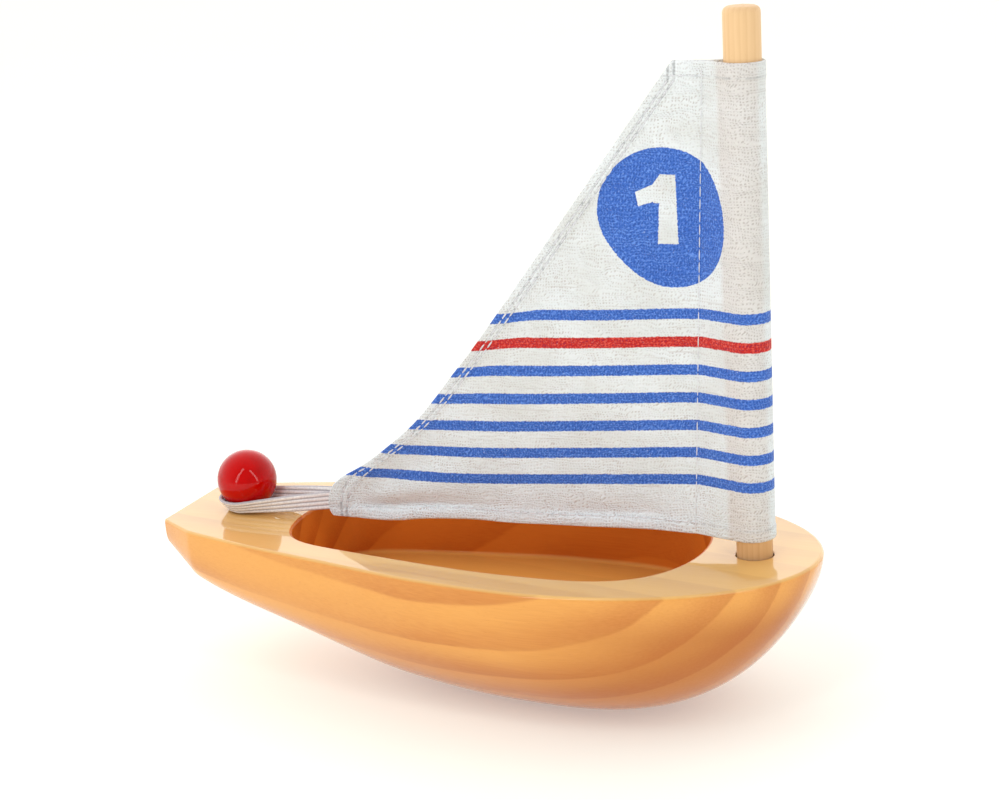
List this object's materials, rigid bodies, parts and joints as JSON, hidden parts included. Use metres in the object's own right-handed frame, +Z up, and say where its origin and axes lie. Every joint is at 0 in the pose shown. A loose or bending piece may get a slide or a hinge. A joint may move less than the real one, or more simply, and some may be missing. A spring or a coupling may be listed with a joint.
{
  "type": "toy sailing boat",
  "caption": "Carved wooden toy sailing boat with an open cockpit, a dowel mast, and a cloth sail sleeved on the mast and held by an elastic loop to a bead on the stern.",
  "frame": {"origin": "centre of the boat's box, on the surface it stands on", "axes": "+X towards the bow, +Y to port, +Z up along the mast; the deck is level"},
  "size_m": [0.1994, 0.0912, 0.1967],
  "materials": {
    "hull_wood": "glossy clear varnish over pine",
    "mast_wood": "smooth dowel, thin clear sealer",
    "red_lacquer": "high gloss red lacquer",
    "sail_cloth": "white open-weave cotton, printed blue and red stripes",
    "elastic": "white ribbed braided elastic",
    "thread": "white sewing thread"
  },
  "bodies": {
    "hull": {"hull": "hull_wood", "mast": "mast_wood", "stern_ball": "red_lacquer", "ball_peg": "mast_wood", "elastic_loop": "elastic"},
    "sail": {"sail": "sail_cloth", "luff_seam_thread": "thread", "leech_outer_thread": "thread", "leech_inner_thread": "thread", "head_hem_thread": "thread", "foot_hem_thread": "thread"}
  },
  "joints": [
    {"name": "sail_swing", "type": "hinge", "parent": "hull", "child": "sail", "pos_m": [0.08125, 0, 0.12], "axis": [0, 0, 1], "range_deg": [-15, 15], "stiffness_Nm_per_rad": 0.05, "deforming": ["elastic_loop"]}
  ]
}
